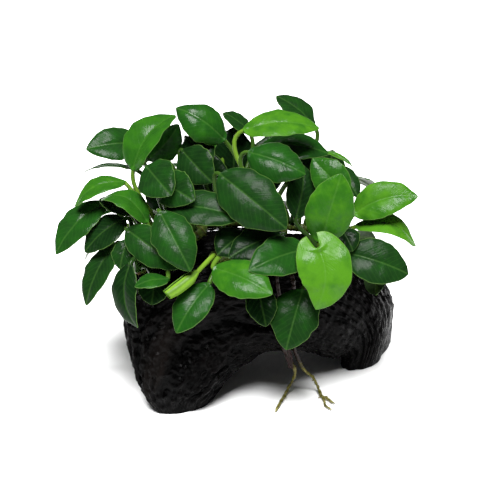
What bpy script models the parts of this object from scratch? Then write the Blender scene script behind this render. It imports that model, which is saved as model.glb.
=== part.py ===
"""Anubias on driftwood: small-leaved plants grown onto an arch of black driftwood.

Metres, +Z up. The piece stands on its two wood feet at z = 0, with the origin under the middle of the whole.
+X is the right of the photograph and +Y goes away from its camera.
"""

import math

import bmesh
import bpy
import numpy as np
from mathutils import Vector, noise
from mathutils.bvhtree import BVHTree

MM = 0.001
UP = np.array([0.0, 0.0, 1.0])
GAP = 0.35  # mm left between two pieces, so that neither cuts the other

for old in list(bpy.data.objects):
    bpy.data.objects.remove(old)

plant = bpy.data.collections.new("anubias_on_driftwood")
cutters = bpy.data.collections.new("cutters")
bpy.context.scene.collection.children.link(plant)
bpy.context.scene.collection.children.link(cutters)


def unit(vector):
    return vector / max(np.linalg.norm(vector), 1e-9)


def finish_material(name, colour, roughness):
    material = bpy.data.materials.new(name)
    material.use_nodes = True
    shader = material.node_tree.nodes["Principled BSDF"]
    shader.inputs["Base Color"].default_value = (*colour, 1.0)
    shader.inputs["Roughness"].default_value = roughness
    material.diffuse_color = (*colour, 1.0)
    return material


WOOD = finish_material("black waterlogged wood", (0.012, 0.010, 0.012), 0.55)
LEAF = finish_material("green leaf", (0.03, 0.16, 0.025), 0.35)
STEM = finish_material("pale green stem", (0.16, 0.30, 0.05), 0.45)
ROOT = finish_material("olive root", (0.20, 0.17, 0.08), 0.70)


def add_mesh(name, points, faces, material, collection=plant):
    """One closed mesh from points in mm; one outside the plant's own collection only joins another piece."""
    mesh = bpy.data.meshes.new(name)
    mesh.from_pydata([Vector(p) * MM for p in points], [], [tuple(f) for f in faces])
    mesh.materials.append(material)
    mesh.validate()
    obj = bpy.data.objects.new(name, mesh)
    collection.objects.link(obj)
    if collection is not plant:
        obj.hide_render = True
        obj.display_type = "WIRE"
    return obj


def skin(rings, tip=None):
    """Faces between equal rings of points, with a fan over the first ring and one over the last."""
    count = len(rings[0])
    points = [p for ring in rings for p in ring]
    faces = []
    for level in range(len(rings) - 1):
        for k in range(count):
            here = level * count + k
            beside = level * count + (k + 1) % count
            faces.append((here, beside, beside + count, here + count))
    points.append(np.mean(rings[0], axis=0))
    points.append(np.mean(rings[-1], axis=0) if tip is None else tip)
    start, end = len(points) - 2, len(points) - 1
    last = (len(rings) - 1) * count
    for k in range(count):
        faces.append((start, (k + 1) % count, k))
        faces.append((end, last + k, last + (k + 1) % count))
    return points, faces


def facing_out(points, faces):
    """The same faces, all turned round if they enclose a negative volume."""
    volume = 0.0
    for face in faces:
        for k in range(1, len(face) - 1):
            a, b, c = points[face[0]], points[face[k]], points[face[k + 1]]
            volume += np.dot(a, np.cross(b, c))
    return faces if volume > 0 else [tuple(reversed(face)) for face in faces]


# Driftwood: one lump of dark wood, a low arch on two feet, its left end nearer the camera.
# Each row is a slice across the arch: outer edge x and z, inner edge x and z, front y, back y, and the
# lean, which is how far the slice shifts in x for each mm of y.
WOOD_SLICES = (
    (-26, 0, -5, 0, -37, 6, 0.36),
    (-33, 10, -2, 5, -38, 11, 0.28),
    (-38, 24, 3, 8, -37, 16, 0.16),
    (-39, 38, 7, 10, -34, 19, 0.08),
    (-31, 48, 11, 12, -29, 22, 0.04),
    (-11, 53, 16, 12, -25, 25, 0.00),
    (13, 52, 23, 10, -21, 27, 0.05),
    (34, 46, 31, 7, -16, 29, 0.10),
    (51, 34, 39, 4, -10, 30, 0.18),
    (60, 18, 43, 2, -5, 30, 0.28),
    (59, 0, 44, 0, -3, 27, 0.42),
)
WOOD_LEVELS = 24
WOOD_SIDES = 24
WOOD_SQUARENESS = 2.7  # the power of the rounded oblong that a slice has
WOOD_LUMP = 2.2  # mm, broad swellings
WOOD_RIDGE = 0.8  # mm, long ridges that follow the grain


def smooth_rows(rows, count):
    """Rows read at even steps along a smooth curve through them."""
    rows = np.array(rows, float)
    read = []
    for q in np.linspace(0, len(rows) - 1, count):
        k = min(int(q), len(rows) - 2)
        t = q - k
        before = rows[max(k - 1, 0)]
        a, b = rows[k], rows[k + 1]
        after = rows[min(k + 2, len(rows) - 1)]
        read.append(
            0.5 * (2 * a + (b - before) * t + (2 * before - 5 * a + 4 * b - after) * t**2)
            + 0.5 * (3 * a - before - 3 * b + after) * t**3
        )
    return read


def wood_ring(row, share):
    """One slice of the wood; share runs from 0 at the left foot to 1 at the right foot."""
    outer_x, outer_z, inner_x, inner_z, front, back, lean = row
    outer = np.array([outer_x, 0.0, outer_z])
    inner = np.array([inner_x, 0.0, inner_z])
    middle = (outer + inner) / 2
    middle[1] = (front + back) / 2
    across = (outer - inner) / 2
    along = np.array([lean, 1.0, 0.0]) * (back - front) / 2
    on_floor = share in (0.0, 1.0)
    ring = []
    for k in range(WOOD_SIDES):
        angle = 2 * math.pi * k / WOOD_SIDES
        c, s = math.cos(angle), math.sin(angle)
        c = math.copysign(abs(c) ** (2 / WOOD_SQUARENESS), c)
        s = math.copysign(abs(s) ** (2 / WOOD_SQUARENESS), s)
        point = middle + across * c + along * s
        outward = unit(point - middle)
        lump = noise.noise(Vector(point) / 17.0) * WOOD_LUMP
        ridge = noise.noise(Vector((4.0 * math.cos(angle), 4.0 * math.sin(angle), 3.0 * share))) * WOOD_RIDGE
        point = point + outward * (lump + ridge)
        if on_floor:
            point[2] = 0.0
        else:
            point[2] = max(point[2], 0.6)
        ring.append(point)
    return ring


def add_driftwood():
    rings = []
    for k, row in enumerate(smooth_rows(WOOD_SLICES, WOOD_LEVELS)):
        rings.append(wood_ring(row, k / (WOOD_LEVELS - 1)))
    points, faces = skin(rings)
    faces = facing_out(points, faces)
    add_mesh("driftwood", points, faces, WOOD)
    return BVHTree.FromPolygons([Vector(p) for p in points], faces)


wood_surface = add_driftwood()


def wood_top(x, y, reach):
    """The highest point of the wood within reach of this place, in mm."""
    found = []
    for k in range(9):
        angle = 2 * math.pi * k / 8
        step = reach if k < 8 else 0.0
        start = Vector((x + step * math.cos(angle), y + step * math.sin(angle), 120.0))
        hit = wood_surface.ray_cast(start, Vector((0, 0, -1)))[0]
        if hit:
            found.append(hit.z)
    return max(found)


def clear_of_wood(point, distance):
    """The point moved straight off the wood until it is this far from its surface."""
    place, normal, _, gap = wood_surface.find_nearest(Vector(point))
    inside = (Vector(point) - place).dot(normal) < 0
    if gap >= distance and not inside:
        return np.array(point, float)
    return np.array(place + normal * distance)


# Rhizomes: four creeping stems, about as thick as a pencil, lying along the top of the wood that their
# roots grip. Each row is x, y and the height that the stem rises above the wood there.
RHIZOME_RADIUS = 2.5
RHIZOMES = {
    "left": ((-35, -19, 0), (-31, -13, 0), (-25, -9, 0), (-17, -8, 1), (-11, -5, 4)),
    "centre": ((-9, -19, 0), (-2, -15, 0), (6, -12, 0), (13, -8, 1), (18, -2, 4)),
    "right": ((22, -15, 0), (28, -11, 0), (33, -5, 0), (37, 2, 0), (38, 9, 0), (37, 15, 2)),
    "back": ((16, 12, 0), (8, 11, 0), (-1, 11, 0), (-10, 11, 0), (-18, 8, 2)),
}
RHIZOME_LEVELS = 8
BUD_LENGTH = 0.8  # how far a stem's blunt growing tip reaches, in stem radii
BUD_RADIUS = 0.4  # how thick it ends, in stem radii


def add_stem(name, path, radii, material):
    """A round stem or root through these points in mm, as a curve with six sides and a blunt tip."""
    ahead = unit(path[-1] - path[-2])
    path = [*path, path[-1] + ahead * radii[-1] * BUD_LENGTH]
    radii = [*radii, radii[-1] * BUD_RADIUS]
    curve = bpy.data.curves.new(name, "CURVE")
    curve.dimensions = "3D"
    curve.bevel_depth = MM
    curve.bevel_resolution = 1
    curve.use_fill_caps = True
    curve.materials.append(material)
    line = curve.splines.new("POLY")
    line.points.add(len(path) - 1)
    for point, place, radius in zip(line.points, path, radii):
        point.co = (*(place * MM), 1.0)
        point.radius = radius
    obj = bpy.data.objects.new(name, curve)
    plant.objects.link(obj)
    return obj


def rhizome_path(rows, count, radius):
    path = []
    for x, y, lift in smooth_rows(rows, count):
        path.append(np.array([x, y, wood_top(x, y, radius) + radius * 1.12 + GAP + lift]))
    return path


def swelling(radius, count):
    """Radii that swell and narrow in turn, as a stem does where its old leaves stood."""
    return [radius * (1.08 if k % 2 else 0.92) for k in range(count)]


rhizome_lines = {}
for area, rows in RHIZOMES.items():
    rhizome_lines[area] = rhizome_path(rows, RHIZOME_LEVELS, RHIZOME_RADIUS)
    add_stem("rhizome_" + area, rhizome_lines[area], swelling(RHIZOME_RADIUS, RHIZOME_LEVELS), STEM)


# Leaves: thick, glossy and oval, each one piece with its stalk, standing round the rhizomes.
STALK_RADIUS = 0.8
STALK_RINGS = 4
BLADE_STATIONS = (0.07, 0.26, 0.50, 0.74, 0.92)
BLADE_THICKNESS = 0.7
RING_ACROSS = (-1.0, -0.5, 0.0, 0.5, 1.0, 0.0)
RING_UPPER = (True, True, True, True, True, False)


def half_width(t, lobe):
    """Half the blade's width at t from base 0 to tip 1, for a blade one wide; a lobe widens its base."""
    power = 0.52 + 0.16 * t
    return 0.5 * math.sin(math.pi * t ** (0.86 - 0.9 * lobe)) ** power


def leaf_points(root, outward, base, tip, width, facing, arch=0.10, fold=0.25, curl=0.25, bend=0.0,
                twist=0.0, wave=0.0, lobe=0.0, sway=0.0, knee=0.0, stalk_rings=STALK_RINGS):
    """Rings of one leaf, stalk first, and its tip.

    arch lifts the middle towards the side it faces, bend moves it sideways, fold makes a valley of the
    midrib, curl turns the edges down, wave ripples them, lobe draws the base back each side of the stalk,
    sway moves the stalk's middle aside, in mm, and knee is how sharply the blade turns off its stalk.
    """
    length = np.linalg.norm(tip - base)
    ahead = unit(tip - base)
    face = unit(facing - ahead * facing.dot(ahead))
    side = np.cross(face, ahead)

    def midrib(t):
        rise = 4 * t * (1 - t) * length
        return base + ahead * length * t + face * arch * rise + side * bend * rise

    def blade_frame(t):
        forward = unit(midrib(min(t + 0.001, 1.0)) - midrib(max(t - 0.001, 0.0)))
        level = unit(side - forward * side.dot(forward))
        normal = np.cross(forward, level)
        turn = math.radians(twist) * (t - 0.5)
        return (
            forward,
            level * math.cos(turn) + normal * math.sin(turn),
            normal * math.cos(turn) - level * math.sin(turn),
        )

    forward, level, normal = blade_frame(0.0)
    reach = np.linalg.norm(base - root)
    aside = unit(np.cross(base - root, UP)) * sway
    arriving = unit(forward * (1 - knee) + unit(base - root) * knee)
    handles = (root, root + outward * reach * 0.42 + aside, base - arriving * reach * 0.30 + aside, base)
    stalk = []
    for k in range(stalk_rings):
        q = k / (stalk_rings - 1)
        weights = ((1 - q) ** 3, 3 * (1 - q) ** 2 * q, 3 * (1 - q) * q**2, q**3)
        place = sum(w * h for w, h in zip(weights, handles))
        slope = (1 - q) ** 2 * (handles[1] - handles[0]) + 2 * (1 - q) * q * (handles[2] - handles[1])
        stalk.append((place, unit(slope + q**2 * (handles[3] - handles[2]))))
    rings = []
    across = level
    for k in reversed(range(stalk_rings)):
        place, slope = stalk[k]
        across = unit(across - slope * across.dot(slope))
        over = np.cross(slope, across)
        radius = STALK_RADIUS * (1.0 + 0.3 * (1 - k / (stalk_rings - 1)) ** 2)
        ring = []
        for u, upper in zip(RING_ACROSS, RING_UPPER):
            angle = math.pi * (1 - u) / 2
            height = math.sin(angle) if upper else -math.sin(angle)
            ring.append(place + radius * (math.cos(angle) * across + height * over))
        rings.insert(0, ring)

    for t in BLADE_STATIONS:
        forward, level, normal = blade_frame(t)
        half = width * half_width(t, lobe)
        ring = []
        for u, upper in zip(RING_ACROSS, RING_UPPER):
            swept = -lobe * length * u * u * (1 - t) ** 5
            height = fold * max(abs(u) * half - 0.5, 0.0) - curl * half * u * u
            height += wave * width * u * u * math.sin(4 * math.pi * t + (0.0 if u > 0 else 2.1))
            if upper:
                height += 0.5 * BLADE_THICKNESS * (1 - u * u)
            else:
                height -= 0.5 * BLADE_THICKNESS + STALK_RADIUS * (1 - t) ** 0.8
            ring.append(midrib(t) + forward * swept + level * u * half + normal * height)
        rings.append(ring)
    return rings, midrib(1.0)


def stalk_root(line, radius, station, base):
    """Where a stalk leaves the stem along this line, just clear of it, and the way it sets out."""
    q = station * (len(line) - 1)
    k = min(int(q), len(line) - 2)
    centre = line[k] + (line[k + 1] - line[k]) * (q - k)
    along = unit(line[k + 1] - line[k])
    towards = unit(base - centre) + 0.5 * UP
    outward = unit(towards - along * towards.dot(along))
    return centre + outward * (radius * 1.1 + GAP), outward


# Each leaf: name, rhizome, how far along it the stalk stands, blade base, blade tip, width, and the way
# the upper face looks; then what makes its form its own.
LEAVES = (
    ("leaf_left_1", "back", 1.00, (-36, 23, 83), (-56, 16, 83), 15, (-2, -7, 7), dict(arch=0.10)),
    ("leaf_left_2", "left", 0.52, (-37, 0, 80), (-22, 13, 97), 17, (-6, -6, 4), dict(arch=0.18, fold=0.5)),
    ("leaf_left_3", "back", 0.84, (-33, 13, 80), (-21, 15, 93), 13, (3, -9, -3), dict(fold=0.5)),
    ("leaf_left_4", "left", 0.60, (-39, 8, 78.5), (-56, 9, 76.5), 12, (0, 2, 10), dict()),
    ("leaf_left_5", "left", 0.44, (-40, -2, 76), (-58, -5, 68), 11, (-2, -3, 9),
     dict(arch=0.20, knee=0.5, sway=-2)),
    ("leaf_left_6", "left", 0.35, (-31, -17, 66), (-48, -9, 72), 12, (3, -3, 9), dict(arch=0.30)),
    ("leaf_left_7", "left", 0.36, (-48, -1, 68), (-65, -12, 52), 15, (-5, -6, 6), dict(arch=0.12)),
    ("leaf_left_8", "left", 0.14, (-39.5, -10, 65), (-54, -15, 54), 16, (-6, -5, 6), dict()),
    ("leaf_left_9", "left", 0.02, (-42.5, -14, 57), (-53, -26, 38), 13, (-6, -6, 5), dict()),
    ("leaf_left_10", "left", 0.30, (-37, -9, 66.5), (-49, -6, 71), 11, (0, -2, 9), dict()),
    ("leaf_left_11", "left", 0.00, (-36, -31, 56), (-33, -42, 37), 12, (-6, -8, 1),
     dict(bend=-0.12, twist=30)),
    ("leaf_left_12", "left", 0.07, (-38, -18, 60), (-40.5, -24, 51), 9, (-2, -8, 5), dict()),
    ("leaf_front_1", "left", 0.48, (-26, -20, 71), (-15, -35, 55), 15, (-1, -7, 7), dict(curl=0.4)),
    ("leaf_front_2", "left", 0.25, (-38, -18.5, 64), (-19, -30, 54), 13, (-3, -7, 6), dict()),
    ("leaf_front_3", "left", 0.28, (-23, -35, 52), (-34, -39, 51), 9, (0, -2, 10), dict(knee=0.7)),
    ("leaf_front_4", "left", 0.04, (-27.5, -31.5, 50.5), (-28.5, -37.5, 43.5), 11, (0, -8, 5),
     dict(knee=1.0)),
    ("leaf_front_5", "centre", 0.02, (-9, -30, 48), (-20, -42, 35), 13, (-2, -7, 6), dict(knee=0.8)),
    ("leaf_front_6", "centre", 0.14, (-7, -30, 54), (13, -43, 50), 15, (-1, -6, 8), dict(curl=0.4)),
    ("leaf_front_7", "centre", 0.34, (3, -17, 62), (-6, -25, 57), 13, (0, -7, 7), dict()),
    ("leaf_front_8", "centre", 0.52, (17, -18, 62), (-2, -28, 57), 14, (-1, -6, 8), dict()),
    ("leaf_front_9", "centre", 0.44, (8, -28, 46), (11, -37, 35), 11, (0, -8, 6), dict()),
    ("leaf_front_10", "centre", 0.80, (14, -7, 69), (6, -16, 65), 11, (0, -7, 7), dict()),
    ("leaf_front_11", "right", 0.06, (24, -28, 45), (18, -39, 27), 17, (-1, -8, 5), dict(knee=0.6)),
    ("leaf_front_12", "right", 0.00, (26, -22, 58), (5, -37, 56), 16, (-1, -7, 7), dict()),
    ("leaf_front_13", "right", 0.32, (29, -32, 62), (28, -40, 43), 19, (0, -8, 5),
     dict(lobe=0.30, knee=1.0, sway=-3, bend=0.13)),
    ("leaf_right_1", "right", 0.20, (30, -23, 61), (37, -19, 85), 17, (0, -9, 4), dict(arch=0.06, curl=0.4)),
    ("leaf_right_2", "right", 0.72, (43, -6, 65), (66, -6, 72), 14, (1, -7, 7), dict(bend=0.08)),
    ("leaf_right_3", "right", 0.62, (44, -5, 60), (66, -7, 53), 13, (1, -3, 10), dict(arch=0.27)),
    ("leaf_right_4", "right", 0.84, (42, 3, 52), (53, 8, 50), 9, (1, 9, 4), dict()),
    ("leaf_right_5", "right", 0.46, (40, -17, 54.5), (62, -20, 47.5), 17, (1, -7, 6), dict()),
    ("leaf_right_6", "right", 0.54, (50, -7, 47), (51, -19, 39), 10, (3, 8, 0), dict()),
    ("leaf_right_7", "right", 0.40, (38, -12, 62), (42, -19, 56), 10, (2, -8, 4), dict()),
    ("leaf_right_8", "right", 0.50, (40, -8, 73), (28, 1, 84), 13, (-2, -8, 6), dict(sway=1.5)),
    ("leaf_right_9", "right", 0.78, (36, 11, 78), (45, 0, 69.5), 10, (3, -7, 6), dict()),
    ("leaf_right_10", "right", 0.95, (33, 18, 81.5), (44, 16, 76.5), 9, (1, 1, 10), dict()),
    ("leaf_top_1", "centre", 0.70, (-4, 11, 88), (-22, 16, 99), 15, (-2, -6, 8), dict(arch=0.18, curl=0.5)),
    ("leaf_top_2", "back", 0.45, (5, 29, 86), (-5, 30, 93), 13, (2, -2, 9), dict()),
    ("leaf_top_3", "centre", 0.90, (3, 10, 92), (31, 13, 92), 15, (0, -4, 9), dict(arch=0.12)),
    ("leaf_top_4", "back", 0.10, (30, 31, 88), (15.5, 35, 98.5), 14, (4, -4, 7), dict(bend=0.02)),
    ("leaf_top_5", "centre", 0.98, (10, 19, 83.5), (35, 15, 81.5), 14, (1, -5, 9), dict()),
    ("leaf_top_6", "centre", 0.62, (5, -4, 88), (25, -11, 82), 16, (0, -7, 7), dict(curl=0.5)),
    ("leaf_top_7", "centre", 0.24, (-5, -14, 83), (18, -28, 68), 19, (-1, -8, 5), dict(arch=0.08, curl=0.4)),
    ("leaf_top_8", "left", 0.86, (-24, -13, 71), (3, -21, 69), 15, (0, -6, 8), dict()),
    ("leaf_top_9", "left", 0.98, (-19, 4, 86), (-8, -8, 78), 14, (-3, -8, 5), dict()),
    ("leaf_top_10", "left", 0.76, (-27, -6, 78), (-14, -19, 75), 14, (-2, -8, 5), dict(wave=0.04)),
    ("leaf_top_11", "left", 0.66, (-31.5, -4, 82.5), (-22, -19, 77), 15, (-3, -7, 6), dict(wave=0.04)),
    ("leaf_top_12", "back", 0.70, (-18, 17, 87), (-9, 6, 80), 13, (2, -9, 3), dict()),
    ("leaf_top_13", "right", 0.28, (22, -9, 65), (25, 2, 81), 12, (3, -9, 2), dict()),
)
for name, area, station, base, tip, width, facing, form in LEAVES:
    base, tip, facing = (np.array(v, float) for v in (base, tip, facing))
    root, outward = stalk_root(rhizome_lines[area], RHIZOME_RADIUS, station, base)
    points, faces = skin(*leaf_points(root, outward, base, tip, width, facing, **form))
    add_mesh(name, points, facing_out(points, faces), LEAF)


# The youngest leaf, still rolled up: a pale rod on a short stalk at the front.
ROLL_BASE = np.array([-13.0, -31.0, 53.0])
ROLL_TIP = np.array([-23.0, -39.0, 48.0])
ROLL_SECTIONS = ((0.05, 0.9), (0.15, 1.6), (0.35, 2.2), (0.60, 2.4), (0.85, 2.3), (0.97, 1.8))
ROLL_STALK_STEPS = (0.0, 0.35, 0.70)
ROLL_STALK_LIFT = 3.0  # mm that the stalk rises from the rhizome before it bends forward


def add_rolled_leaf():
    """The stalk bends from the rhizome to the rod's base; each of the rod's sections is a place, a radius."""
    root, outward = stalk_root(rhizome_lines["centre"], RHIZOME_RADIUS, 0.04, ROLL_BASE)
    bend = root + outward * ROLL_STALK_LIFT
    path, radii = [], []
    for q in ROLL_STALK_STEPS:
        path.append(root * (1 - q) ** 2 + bend * 2 * (1 - q) * q + ROLL_BASE * q**2)
        radii.append(STALK_RADIUS)
    for q, radius in ROLL_SECTIONS:
        path.append(ROLL_BASE + (ROLL_TIP - ROLL_BASE) * q)
        radii.append(radius)
    add_stem("leaf_rolled", path, radii, LEAF)


add_rolled_leaf()


# Side shoots: short stems with small leaves of their own, each grown as one piece, round the back and
# the right. Their upper leaves are the dark ones that close the gaps between the large leaves.
SHOOT_RADIUS = 1.7
SHOOT_LEVELS = 5
SHOOT_STALK_RINGS = 3
SHOOTS = {
    "back_left": ((-22, 2, 0), (-28, 4, 0), (-33, 5, 0)),
    "back_middle": ((-14, 17, 0), (-6, 18, 0), (1, 18, 0)),
    "back_right": ((19, 18, 0), (26, 18, 0), (33, 17, 0)),
    "right": ((45, 2, 0), (47, 8, 0), (48, 14, 0)),
}
SHOOT_LEAVES = (
    ("back_left", 0.15, (-33, 20, 66), (-50, 30, 56), 15, (-4, 4, 8)),
    ("back_left", 0.40, (-26, 24, 60), (-36, 40, 46), 15, (-3, 7, 6)),
    ("back_left", 0.65, (-40, 14, 62), (-60, 18, 50), 14, (-6, 1, 8)),
    ("back_left", 0.90, (-44, 8, 55), (-58, 12, 40), 13, (-8, 1, 5)),
    ("back_left", 0.02, (-25, 9, 61), (-30, 10, 74), 13, (0, -9, 2)),
    ("back_middle", 0.02, (-15, 26, 72), (-26, 40, 68), 15, (-2, 5, 9)),
    ("back_middle", 0.18, (-11, 27, 58), (-17, 42, 42), 15, (-1, 8, 5)),
    ("back_middle", 0.34, (-11, 20, 60), (-10, 26, 79), 17, (0, -9, 3)),
    ("back_middle", 0.50, (-6, 29, 79), (-13, 40, 86), 14, (-2, 4, 9)),
    ("back_middle", 0.66, (-1, 27, 70), (-1, 32, 87), 15, (1, -9, 3)),
    ("back_middle", 0.82, (3, 30, 64), (2, 44, 50), 16, (0, 8, 6)),
    ("back_middle", 0.98, (11, 24, 63), (13, 32, 84), 16, (-1, -9, 4)),
    ("back_right", 0.04, (16, 30, 58), (12, 43, 42), 14, (-1, 8, 5)),
    ("back_right", 0.20, (25, 17, 67), (24, 20, 83), 15, (0, -9, 2)),
    ("back_right", 0.36, (24, 31, 70), (26, 44, 60), 16, (1, 7, 7)),
    ("back_right", 0.55, (34, 28, 58), (42, 40, 42), 15, (3, 7, 5)),
    ("back_right", 0.70, (34, 21, 66), (37, 25, 80), 14, (1, -9, 3)),
    ("back_right", 0.88, (40, 24, 70), (56, 32, 60), 15, (3, 4, 8)),
    ("right", 0.25, (50, 16, 47), (60, 27, 31), 13, (6, 6, 5)),
    ("right", 0.75, (44, 24, 44), (48, 36, 28), 13, (3, 8, 5)),
)


def as_mesh(curve_object):
    """The same piece as a mesh with its caps welded, because a Boolean takes no curve."""
    bpy.context.view_layer.update()
    evaluated = curve_object.evaluated_get(bpy.context.evaluated_depsgraph_get())
    mesh = bpy.data.meshes.new_from_object(evaluated)
    welded = bmesh.new()
    welded.from_mesh(mesh)
    bmesh.ops.remove_doubles(welded, verts=welded.verts, dist=0.01 * MM)
    welded.to_mesh(mesh)
    welded.free()
    obj = bpy.data.objects.new(curve_object.name + " mesh", mesh)
    for owner in list(curve_object.users_collection):
        owner.objects.link(obj)
    name = curve_object.name
    bpy.data.objects.remove(curve_object)
    obj.name = name
    return obj


def grow_together(obj, grown):
    """One solid of this object and every object of the collection."""
    join = obj.modifiers.new("grown together", "BOOLEAN")
    join.operation = "UNION"
    join.operand_type = "COLLECTION"
    join.collection = grown
    join.solver = "EXACT"


def hidden_collection(name):
    grown = bpy.data.collections.new(name)
    grown.hide_render = True
    cutters.children.link(grown)
    return grown


def add_shoot(area):
    line = rhizome_path(SHOOTS[area], SHOOT_LEVELS, SHOOT_RADIUS)
    stem = add_stem("shoot_" + area, line, swelling(SHOOT_RADIUS, SHOOT_LEVELS), STEM)
    shoot = as_mesh(stem)
    shoot.data.materials.append(LEAF)
    grown = hidden_collection("leaves of shoot " + area)
    for owner, station, base, tip, width, facing in SHOOT_LEAVES:
        if owner != area:
            continue
        base, tip, facing = (np.array(v, float) for v in (base, tip, facing))
        root, outward = stalk_root(line, SHOOT_RADIUS, station, base)
        root = root - outward * SHOOT_RADIUS
        rings, end = leaf_points(root, outward, base, tip, width, facing, stalk_rings=SHOOT_STALK_RINGS)
        points, faces = skin(rings, end)
        add_mesh(f"{area} leaf {station}", points, facing_out(points, faces), LEAF, grown)
    grow_together(shoot, grown)


for area in SHOOTS:
    add_shoot(area)


# Roots: two thin roots from the rhizomes, down the front of the wood and out over the floor. The thick
# part is where several of them hang together from the edge of the arch. Each row is x, y, z and radius.
ROOT_LEFT = (
    (15, -17, 53, 0.8), (15, -23, 48, 0.8), (16, -24, 38, 0.8), (16, -23, 28, 0.9), (17, -21, 20, 1.3),
    (19.5, -19.5, 14, 1.5), (21.5, -19, 10, 1.0), (22, -19.5, 6.5, 0.6), (19.5, -21, 1.8, 0.6),
    (17, -28, 0.9, 0.6), (14.4, -36, 0.7, 0.45),
)
ROOT_RIGHT = (
    (20, -20, 49, 0.8), (21, -22, 44, 0.8), (21, -21, 34, 0.8), (21, -20, 26, 0.8), (21.5, -19, 18, 0.9),
    (23.5, -18, 12, 0.8), (26, -18, 7.5, 0.6), (29, -18.5, 5, 0.6), (30.8, -20, 1.4, 0.6),
    (32, -25.5, 0.9, 0.7), (33.5, -26.5, 0.9, 0.6), (36.4, -30.5, 0.7, 0.4),
)
ROOT_FORK = ((32.2, -25.8, 0.9, 0.5), (32.6, -29, 0.8, 0.5), (32.8, -31.5, 0.8, 0.5), (35, -35, 0.7, 0.4))


def add_root(name, rows):
    path = []
    for x, y, z, radius in rows:
        path.append(clear_of_wood((x, y, z), radius + 3 * GAP))
    return add_stem(name, path, [row[3] for row in rows], ROOT)


add_root("root_left", ROOT_LEFT)
root_right = as_mesh(add_root("root_right", ROOT_RIGHT))
fork = as_mesh(add_root("root fork", ROOT_FORK))
forks = hidden_collection("fork of the right root")
plant.objects.unlink(fork)
forks.objects.link(fork)
fork.hide_render = True
fork.display_type = "WIRE"
grow_together(root_right, forks)
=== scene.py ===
"""The looks of the anubias on driftwood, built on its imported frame. Metres, +Z up, as in the frame."""

import math

import bpy
import numpy as np
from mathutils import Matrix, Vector, noise
from mathutils.bvhtree import BVHTree


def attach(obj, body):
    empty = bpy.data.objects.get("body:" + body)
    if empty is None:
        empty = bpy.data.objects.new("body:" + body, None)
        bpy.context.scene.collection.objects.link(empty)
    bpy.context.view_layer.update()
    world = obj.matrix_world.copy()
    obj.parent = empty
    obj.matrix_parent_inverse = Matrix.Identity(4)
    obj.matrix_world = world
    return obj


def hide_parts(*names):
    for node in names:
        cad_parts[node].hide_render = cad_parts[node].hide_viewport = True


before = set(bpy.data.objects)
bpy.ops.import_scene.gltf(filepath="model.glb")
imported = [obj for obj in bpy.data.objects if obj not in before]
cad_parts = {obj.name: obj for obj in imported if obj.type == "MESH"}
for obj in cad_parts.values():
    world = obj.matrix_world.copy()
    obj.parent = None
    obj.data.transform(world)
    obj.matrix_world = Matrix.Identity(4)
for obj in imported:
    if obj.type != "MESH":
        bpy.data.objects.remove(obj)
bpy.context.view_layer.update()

# Driftwood: one low arch of bogwood that stands on two feet, turned black right through under water.
# Its soft wood is washed out along the grain, which runs over the arch from foot to foot, so that it is
# all ridges, grooves and pits. It is wet. The plants hold on to it with their own stems and roots.
MM = 0.001
WOOD_SLICES = (
    # cuts across the arch from foot to foot, in mm: x and z of its outer edge, x and z of its inner edge,
    # y of its front, y of its back, and how far it leans sideways for each mm towards the back
    (-26, 0, -5, 0, -37, 6, 0.36),
    (-33, 10, -2, 5, -38, 11, 0.28),
    (-38, 24, 3, 8, -37, 16, 0.16),
    (-39, 38, 7, 10, -34, 19, 0.08),
    (-31, 48, 11, 12, -29, 22, 0.04),
    (-11, 53, 16, 12, -25, 25, 0.00),
    (13, 52, 23, 10, -21, 27, 0.05),
    (34, 46, 31, 7, -16, 29, 0.10),
    (51, 34, 39, 4, -10, 30, 0.18),
    (60, 18, 43, 2, -5, 30, 0.28),
    (59, 0, 44, 0, -3, 27, 0.42),
)
WOOD_LEVELS = 270
WOOD_SIDES = 270
WOOD_SQUARENESS = 2.7  # 2 is an ellipse, and more is nearer a box
WOOD_LUMP = 2.2  # mm, as are the heights and depths that follow
WOOD_LUMP_SPACING = 17.0
WOOD_RIDGE = 0.8
WOOD_SOLE = 0.6  # mm that the arch's edges stay above the floor, away from its feet
WOOD_GIRTH = 25.0  # mm, the radius that the grain's pattern is measured on
WOOD_RUN = 170.0  # mm from foot to foot along the grain
GRAIN_STRETCH = 0.13  # the grain's pattern is this much shorter across than along
GRAIN_LAYERS = (
    # ridge spacing in mm, depth in mm
    (6.5, 1.1),
    (2.8, 0.8),
    (1.3, 0.6),
)
PIT_SPACING = 5.5
PIT_DEPTH = 0.9
CRUMB_SPACING = 2.2
CRUMB_HEIGHT = 0.7
WOOD_FULLNESS = 0.5  # mm that the crests stand out, so that the worn surface keeps the wood's size


def unit(vector):
    """The same direction with length one."""
    return vector / max(np.linalg.norm(vector), 1e-9)


def colour(hexes, alpha=1.0):
    """An sRGB colour such as 8a7f3c as the linear one that a shader takes."""
    channels = []
    for k in (0, 2, 4):
        value = int(hexes[k : k + 2], 16) / 255
        channels.append(value / 12.92 if value <= 0.04045 else ((value + 0.055) / 1.055) ** 2.4)
    return (*channels, alpha)


def add_node(material, kind, settings=None, **inputs):
    """A node with its settings; each input is a value, an output, or a node whose first output feeds it."""
    node = material.node_tree.nodes.new(kind)
    for name, value in (settings or {}).items():
        if name != "stops":
            setattr(node, name, value)
            continue
        while len(node.color_ramp.elements) < len(value):
            node.color_ramp.elements.new(0.5)
        for element, (place, hexes) in zip(node.color_ramp.elements, value):
            element.position = place
            element.color = colour(hexes)
    for name, value in inputs.items():
        socket = node.inputs[int(name[1:])] if name[1:].isdigit() else node.inputs[name.replace("_", " ")]
        if isinstance(value, bpy.types.Node):
            value = next(output for output in value.outputs if output.enabled)
        if isinstance(value, bpy.types.NodeSocket):
            material.node_tree.links.new(value, socket)
        else:
            socket.default_value = value
    return node


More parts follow.
